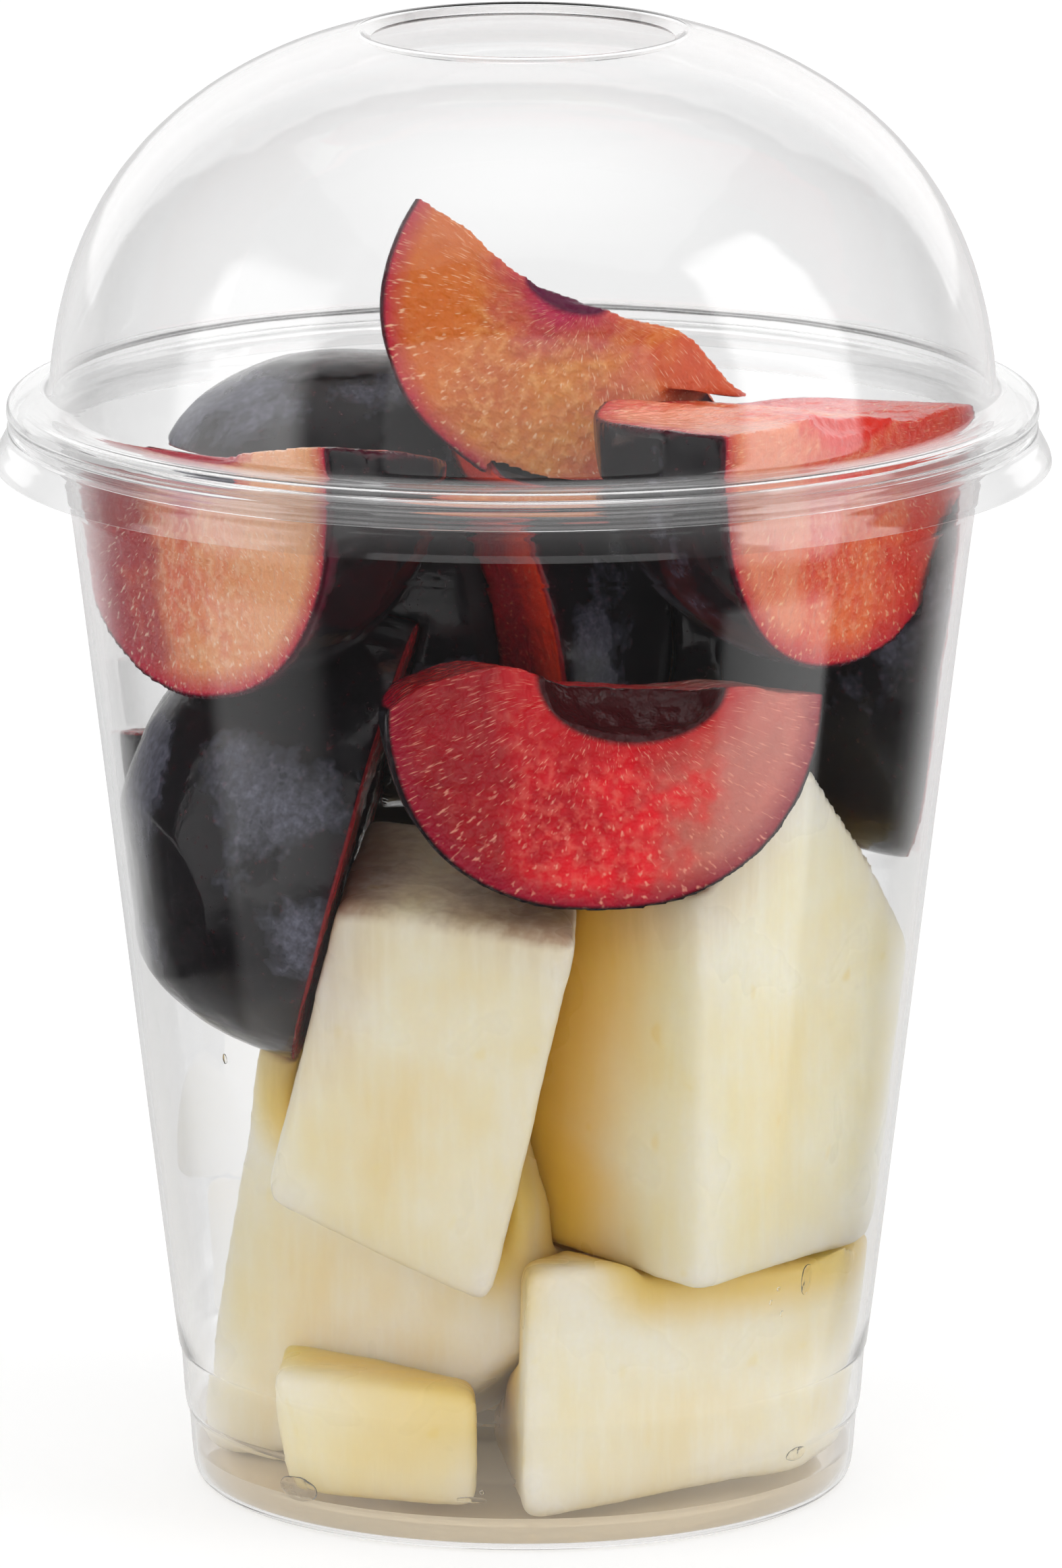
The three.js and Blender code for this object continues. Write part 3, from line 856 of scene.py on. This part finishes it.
def store(piece, name, kind, field, values):
    """Keeps a value for each point of a piece, for its material."""
    attribute = piece.data.attributes.new(name, kind, "POINT")
    attribute.data.foreach_set(field, np.ascontiguousarray(values, dtype=np.float32).ravel())


def distance_to(points, others):
    """How far each point is from the nearest of some objects, up to 20 mm."""
    trees = [BVHTree.FromPolygons(
        [v.co for v in other.data.vertices], [p.vertices for p in other.data.polygons]
    ) for other in others]
    found = np.full(len(points), 20.0)
    for tree in trees:
        for i, point in enumerate(points):
            hit = tree.find_nearest(point, found[i])[3]
            if hit is not None:
                found[i] = hit
    return found


def make_fruit(kind, voxel, hidden_voxel, materials):
    """Models every piece of one kind, each cut out of the room of the pieces before it."""
    cup_room = cavity()
    rooms = {name: raw_piece(spec, FRUIT_GAP) for name, spec in FRUIT.items()}
    names = list(FRUIT)
    for index, (name, spec) in enumerate(FRUIT.items()):
        if kind not in spec:
            continue
        piece = raw_piece(spec)
        carve(piece, cup_room, "INTERSECT")
        for other in names[:index]:
            if near(piece, rooms[other]):
                carve(piece, rooms[other])
        size = hidden_voxel if "back" in name or "middle" in name else voxel
        apply_modifier(piece, "REMESH", mode="VOXEL", voxel_size=size)
        piece = keep_biggest(piece)
        if kind == "plum":
            mark_plum(piece, spec)
            if "swell" in spec:
                swell(piece, spec)
            uneven(piece, 9, 0.5)
            uneven(piece, 1.1, 0.3, depth=3, group="flesh")
        else:
            apply_modifier(piece, "SMOOTH", factor=0.5, iterations=MELON_SMOOTHING)
            mark_melon(piece, spec, [(n, r) for n, r in rooms.items() if n != name])
            if "teeth" in spec:
                jag(piece, spec)
            uneven(piece, 14, 0.7)
            uneven(piece, 1.4, 0.12, depth=3)
        piece.name = name + "_cut"
        look = spec["look"]
        finished(piece, materials[look], SLOTS[look], name)
    discard(cup_room, *rooms.values())


# ---- The juice -----------------------------------------------------------------------------------


def fruit_juice(name, colour, clear):
    """Fruit juice, as runny as water, IOR 1.34, and pale straw. What has run down is cloudy with
    fine melon pulp, which scatters light, and single drops are clear."""
    material, tree = new_material(name)
    juice = add(
        tree, "BsdfPrincipled",
        {"Base Color": linear(colour), "Roughness": 0.03, "IOR": 1.34,
         "Transmission Weight": clear},
    )
    shadow = add(tree, "LightPath").outputs["Is Shadow Ray"]
    through = add(tree, "BsdfTransparent", {"Color": linear("#fbf6ea")})
    mixed = add(tree, "MixShader", {0: shadow, 1: juice, 2: through})
    add(tree, "OutputMaterial", {"Surface": mixed})
    return material


# Drops on the inside of the wall: how many millimetres right of the front, height, half width,
# half height and how far they stand off the wall.
DROPS = [
    (-23.5, 4.2, 2.4, 1.2, 0.3), (-4.9, 5.2, 1.5, 0.3, 0.1), (-3.9, 6.0, 0.25, 0.25, 0.15),
    (31.0, 24.0, 0.8, 1.5, 0.12), (26.0, 22.6, 0.2, 0.25, 0.1), (27.0, 23.8, 0.25, 0.2, 0.1),
    (27.5, 21.2, 0.2, 0.3, 0.1), (30.5, 6.4, 1.6, 0.7, 0.15), (-32.0, 46.0, 0.3, 0.5, 0.15),
]
BUBBLES = [
    (0.9, 1.3, 0.5), (4.6, 0.75, 0.42), (5.4, 1.1, 0.3), (6.0, 0.8, 0.26), (5.0, 1.45, 0.2),
    (7.3, 0.6, 0.3), (9.7, 0.9, 0.22), (-3.4, 1.2, 0.24), (13.2, 1.3, 0.2), (-9.0, 0.9, 0.26),
]


def drop(across, height, wide, tall, thick, inside):
    """A drop that clings to the inside of the wall."""
    piece = ball(4)
    slice_off(piece, (0, 0, 0), (0, -1, 0))
    piece.data.transform(Matrix.Diagonal((wide, thick, tall, 1)))
    uneven(piece, 0.9 * min(wide, tall), 0.25 * min(wide, tall, 1.2))
    points = points_of(piece)
    z = height + points[:, 2]
    radius = np.array([wall_radius(h) for h in z]) - inside - np.maximum(points[:, 1], 0)
    angle = (across + points[:, 0]) / wall_radius(height)
    move_points(piece, np.stack((radius * np.sin(angle), -radius * np.cos(angle), z), axis=1))
    return piece


def juice_pool():
    """The juice that has run down into the foot, with a few bubbles in it."""
    profile = [
        (0, 2.02), (24.95, 1.66), (27.2, 0.58), (30.2, 0.58), (30.75, 0.95), (31.05, 2.1),
        (31.2, 3.4), (30.5, 2.5), (29.2, 2.22), (0, 2.22),
    ]
    pool = turned("juice_pool", profile, 128)
    for across, height, radius in BUBBLES:
        bubble = ball(2, radius)
        angle = across / 30
        reach = 30.3 - radius
        bubble.data.transform(
            Matrix.Translation((reach * math.sin(angle), -reach * math.cos(angle), height))
        )
        carve(pool, bubble)
        discard(bubble)
    return pool


# ---- Properties ----------------------------------------------------------------------------------


class FruitCupSizes(bpy.types.PropertyGroup):
    """Sizes of the clear plastic and of the fruit's detail."""

    sheet: bpy.props.FloatProperty(
        name="Sheet", description="Thickness of the clear plastic", default=0.00045, precision=5,
        subtype="DISTANCE", unit="LENGTH",
    )
    turns: bpy.props.IntProperty(
        name="Turns", description="Faces round the cup and its lid", default=192, min=48
    )
    detail: bpy.props.FloatProperty(
        name="Detail", description="Size of the smallest facet on the fruit that shows",
        default=0.0004, precision=5, subtype="DISTANCE", unit="LENGTH",
    )


class FruitCupStage(bpy.types.PropertyGroup):
    """The studio round the cup."""

    floor: bpy.props.FloatVectorProperty(
        name="Floor", description="Colour of the floor", default=linear("#cccccc")[:3],
        subtype="COLOR", min=0, max=1,
    )
    glow: bpy.props.FloatProperty(
        name="Glow", description="Light that the table gives off", default=0.56, min=0
    )
    ambient: bpy.props.FloatProperty(
        name="Ambient", description="Brightness of the room", default=0.46, min=0
    )
    softbox: bpy.props.FloatProperty(
        name="Softboxes",
        description="Radiance of the softboxes, in watts per square metre and steradian",
        default=1.2, min=0,
    )
    lens: bpy.props.FloatProperty(
        name="Lens", description="Focal length of the camera, in millimetres", default=358.65,
        subtype="DISTANCE_CAMERA",
    )


# ---- Operators -----------------------------------------------------------------------------------


def make_shell(context, name, path, starts_on_axis, node):
    """Spins the cup or its lid from its path, as one closed sheet."""
    sizes = context.scene.fruit_cup_sizes
    thickness = sizes.sheet / MM * (1 if starts_on_axis else -1)
    profile = sheet_profile(rounded(path), thickness, starts_on_axis)
    shell = turned(name, profile, sizes.turns)
    material = bpy.data.materials.get("Clear PET, thermoformed") or clear_pet()
    return finished(shell, material, "clear_plastic", node)


class FRUITCUP_OT_cup(bpy.types.Operator):
    """Spins the clear cup with its foot, stacking ledges and rolled rim"""

    bl_idname = "fruit_cup.make_cup"
    bl_label = "Make the cup"

    def execute(self, context):
        make_shell(context, "clear_cup", CUP_PATH, True, "cup")
        return {"FINISHED"}


class FRUITCUP_OT_lid(bpy.types.Operator):
    """Spins the clear dome lid with its straw hole and snap-on skirt"""

    bl_idname = "fruit_cup.make_lid"
    bl_label = "Make the dome lid"

    def execute(self, context):
        make_shell(context, "clear_dome_lid", LID_PATH, False, "dome_lid")
        return {"FINISHED"}


class FRUITCUP_OT_plums(bpy.types.Operator):
    """Cuts the plum wedges, halves and cheek and lays them in the cup"""

    bl_idname = "fruit_cup.make_plums"
    bl_label = "Make the plums"

    def execute(self, context):
        voxel = context.scene.fruit_cup_sizes.detail / MM
        materials = {look: plum_material(look) for look in PLUM_TONES}
        make_fruit("plum", voxel, 1.5 * voxel, materials)
        return {"FINISHED"}


class FRUITCUP_OT_melons(bpy.types.Operator):
    """Cuts the melon chunks and lays them in the cup"""

    bl_idname = "fruit_cup.make_melons"
    bl_label = "Make the melon chunks"

    def execute(self, context):
        voxel = context.scene.fruit_cup_sizes.detail / MM
        materials = {look: melon_material(look) for look in MELON_TONES}
        make_fruit("outline", voxel, 1.5 * voxel, materials)
        return {"FINISHED"}


class FRUITCUP_OT_juice(bpy.types.Operator):
    """Lets a little juice run down to the foot and cling to the wall in drops"""

    bl_idname = "fruit_cup.make_juice"
    bl_label = "Make the juice"

    def execute(self, context):
        inside = context.scene.fruit_cup_sizes.sheet / MM + 0.08
        drops = [drop(*sizes, inside) for sizes in DROPS]
        bpy.ops.object.select_all(action="DESELECT")
        for piece in drops:
            piece.select_set(True)
        bpy.context.view_layer.objects.active = drops[0]
        bpy.ops.object.join()
        drops[0].name = "juice_drops"
        finished(drops[0], fruit_juice("Fruit juice, clear drops", "#fffdf8", 1.0), "clear_plastic")
        finished(juice_pool(), fruit_juice("Fruit juice, cloudy", "#f8e8ca", 0.5), "clear_plastic")
        return {"FINISHED"}


def fade(light, edge):
    """Lets an area light fade out over a share of its size at each edge."""
    light.data.use_nodes = True
    tree = light.data.node_tree
    tree.nodes.clear()
    split = add(tree, "SeparateXYZ", {0: add(tree, "NewGeometry").outputs["Parametric"]})
    strength = 1.0
    for side in ("X", "Y"):
        inward = add(tree, "Math", {0: split.outputs[side], 1: 0.5}, operation="PINGPONG")
        share = add(
            tree, "MapRange", {"Value": inward, "From Max": edge}, interpolation_type="SMOOTHSTEP"
        )
        strength = add(tree, "Math", {0: strength, 1: share}, operation="MULTIPLY")
    emission = add(tree, "Emission", {"Strength": strength})
    add(tree, "OutputLight", {"Surface": emission})


def softbox(name, azimuth, distance, low, high, width, radiance, glossy=True, edge=0.05):
    """A tall softbox that faces the cup. Azimuth 0 is at the camera and 90 at its right."""
    angle = math.radians(azimuth)
    bpy.ops.object.select_all(action="DESELECT")
    bpy.ops.object.light_add(
        type="AREA",
        location=(distance * math.sin(angle), -distance * math.cos(angle), (low + high) / 2),
        rotation=(math.pi / 2, 0, angle),
    )
    light = bpy.context.object
    light.name = name
    light.data.shape = "RECTANGLE"
    light.data.size = width
    light.data.size_y = high - low
    light.data.energy = radiance * math.pi * width * (high - low)
    light.visible_glossy = glossy
    fade(light, edge)


def floor_material(colour, glow):
    """A white light table. Only its middle and its far parts are mirrored in the plastic, so that
    they don't veil the dark fruit."""
    material, tree = new_material("White acrylic, lit from below")
    acrylic = add(
        tree, "BsdfPrincipled",
        {"Base Color": (*colour, 1), "Roughness": 0.9, "Emission Color": (1, 1, 1, 1),
         "Emission Strength": glow},
    )
    clear = add(tree, "BsdfTransparent")
    facing = add(tree, "LayerWeight").outputs["Facing"]
    grazing = add(tree, "MapRange", {"Value": facing, "From Min": 0.72, "From Max": 0.76})
    flat = add(tree, "MapRange", {"Value": facing, "From Min": 0.84, "From Max": 0.88})
    distant = add(tree, "Math", {0: grazing, 1: flat}, operation="SUBTRACT")
    place = add(tree, "TexCoord").outputs["Object"]
    away = add(tree, "VectorMath", {0: place}, operation="LENGTH").outputs["Value"]
    middle = add(
        tree, "MapRange",
        {"Value": away, "From Min": 0.045, "From Max": 0.09, "To Min": 1.0, "To Max": 0.0},
    )
    shown = add(tree, "Math", {0: distant, 1: middle}, operation="MAXIMUM")
    bounces = add(tree, "LightPath").outputs["Glossy Depth"]
    mirrored = add(tree, "Math", {0: bounces, 1: 1.0, 2: 0.5}, operation="COMPARE")
    hidden = add(tree, "Math", {0: mirrored, 1: shown}, operation="SUBTRACT")
    mixed = add(tree, "MixShader", {0: hidden, 1: acrylic, 2: clear})
    add(tree, "OutputMaterial", {"Surface": mixed})
    return material


class FRUITCUP_OT_stage(bpy.types.Operator):
    """Sets up the pale floor, the soft lights and the camera"""

    bl_idname = "fruit_cup.make_stage"
    bl_label = "Make the stage"

    def execute(self, context):
        stage = context.scene.fruit_cup_stage
        bpy.ops.object.select_all(action="DESELECT")
        bpy.ops.mesh.primitive_circle_add(vertices=96, radius=4, fill_type="NGON")
        floor = context.object
        floor.name = "floor"
        floor.data.materials.append(floor_material(stage.floor, stage.glow))

        softbox("softbox_right", 71, 1.1, -0.5, 1.45, 0.75, 1.3 * stage.softbox, edge=0.12)
        softbox("softbox_left", -73, 1.1, -0.5, 1.1, 0.9, 1.1 * stage.softbox, edge=0.2)
        softbox("backdrop_light", 180, 1.7, 0.1, 2.1, 3.4, 0.38 * stage.softbox)
        softbox("front_light", 0, 1.3, -0.3, 0.9, 1.8, 0.8 * stage.softbox, glossy=False)
        bpy.ops.object.light_add(type="AREA", location=(0, 0, 1.8))
        top = context.object
        top.name = "overhead_light"
        top.data.size = 2.2
        top.data.energy = 0.4 * stage.softbox * math.pi * 2.2**2
        top.visible_glossy = False
        bpy.ops.object.light_add(type="AREA", location=(0, 0, 1.7))
        sheen = context.object
        sheen.name = "overhead_sheen"
        sheen.data.size = 2.8
        sheen.data.energy = 0.8 * stage.softbox * math.pi * 2.8**2
        sheen.visible_diffuse = False
        fade(sheen, 0.5)

        world = bpy.data.worlds.new("studio")
        context.scene.world = world
        world.use_nodes = True
        world.cycles.sampling_method = "NONE"
        tree = world.node_tree
        tree.nodes.clear()
        path = add(tree, "LightPath")
        mirrored = add(
            tree, "Math", {0: path.outputs["Glossy Depth"], 1: 1.0, 2: 0.5}, operation="COMPARE"
        )
        lit = add(tree, "Mix", {0: path.outputs["Is Diffuse Ray"], 2: 1.0, 3: stage.ambient})
        way = add(tree, "SeparateXYZ", {0: add(tree, "TexCoord").outputs["Generated"]})
        behind = add(
            tree, "MapRange",
            {"Value": way.outputs["Y"], "From Min": 0.6, "From Max": 0.92, "To Min": 0.02,
             "To Max": 0.82},
            interpolation_type="SMOOTHSTEP",
        )
        strength = add(tree, "Mix", {0: mirrored, 2: lit, 3: behind})
        background = add(tree, "Background", {"Color": (1, 1, 1, 1), "Strength": strength})
        add(tree, "OutputWorld", {"Surface": background})

        bpy.ops.object.camera_add(
            location=(0.00077, -1.449, 0.3844), rotation=(math.radians(77.65), 0, 0)
        )
        camera = context.object
        camera.data.lens = stage.lens
        camera.data.sensor_fit = "VERTICAL"
        camera.data.sensor_height = 36
        context.scene.camera = camera
        context.scene.view_settings.view_transform = "Standard"
        context.scene.cycles.max_bounces = 10
        context.scene.cycles.diffuse_bounces = 3
        return {"FINISHED"}


class FRUITCUP_PT_panel(bpy.types.Panel):
    """The fruit cup's sizes and steps"""

    bl_idname = "FRUITCUP_PT_panel"
    bl_label = "Fruit Cup"
    bl_space_type = "VIEW_3D"
    bl_region_type = "UI"
    bl_category = "Fruit Cup"

    def draw(self, context):
        for group in (context.scene.fruit_cup_sizes, context.scene.fruit_cup_stage):
            box = self.layout.box()
            for name in group.__annotations__:
                box.prop(group, name)
        for operator in OPERATORS:
            self.layout.operator(operator.bl_idname)


OPERATORS = (
    FRUITCUP_OT_cup,
    FRUITCUP_OT_lid,
    FRUITCUP_OT_plums,
    FRUITCUP_OT_melons,
    FRUITCUP_OT_juice,
    FRUITCUP_OT_stage,
)
CLASSES = (FruitCupSizes, FruitCupStage, *OPERATORS, FRUITCUP_PT_panel)


def register():
    for cls in CLASSES:
        bpy.utils.register_class(cls)
    bpy.types.Scene.fruit_cup_sizes = bpy.props.PointerProperty(type=FruitCupSizes)
    bpy.types.Scene.fruit_cup_stage = bpy.props.PointerProperty(type=FruitCupStage)


def unregister():
    del bpy.types.Scene.fruit_cup_stage
    del bpy.types.Scene.fruit_cup_sizes
    for cls in reversed(CLASSES):
        bpy.utils.unregister_class(cls)


def main():
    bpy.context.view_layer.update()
    register()
    bpy.ops.fruit_cup.make_cup()
    bpy.ops.fruit_cup.make_lid()
    bpy.ops.fruit_cup.make_plums()
    bpy.ops.fruit_cup.make_melons()
    bpy.ops.fruit_cup.make_juice()
    bpy.ops.fruit_cup.make_stage()


if __name__ == "__main__":
    main()
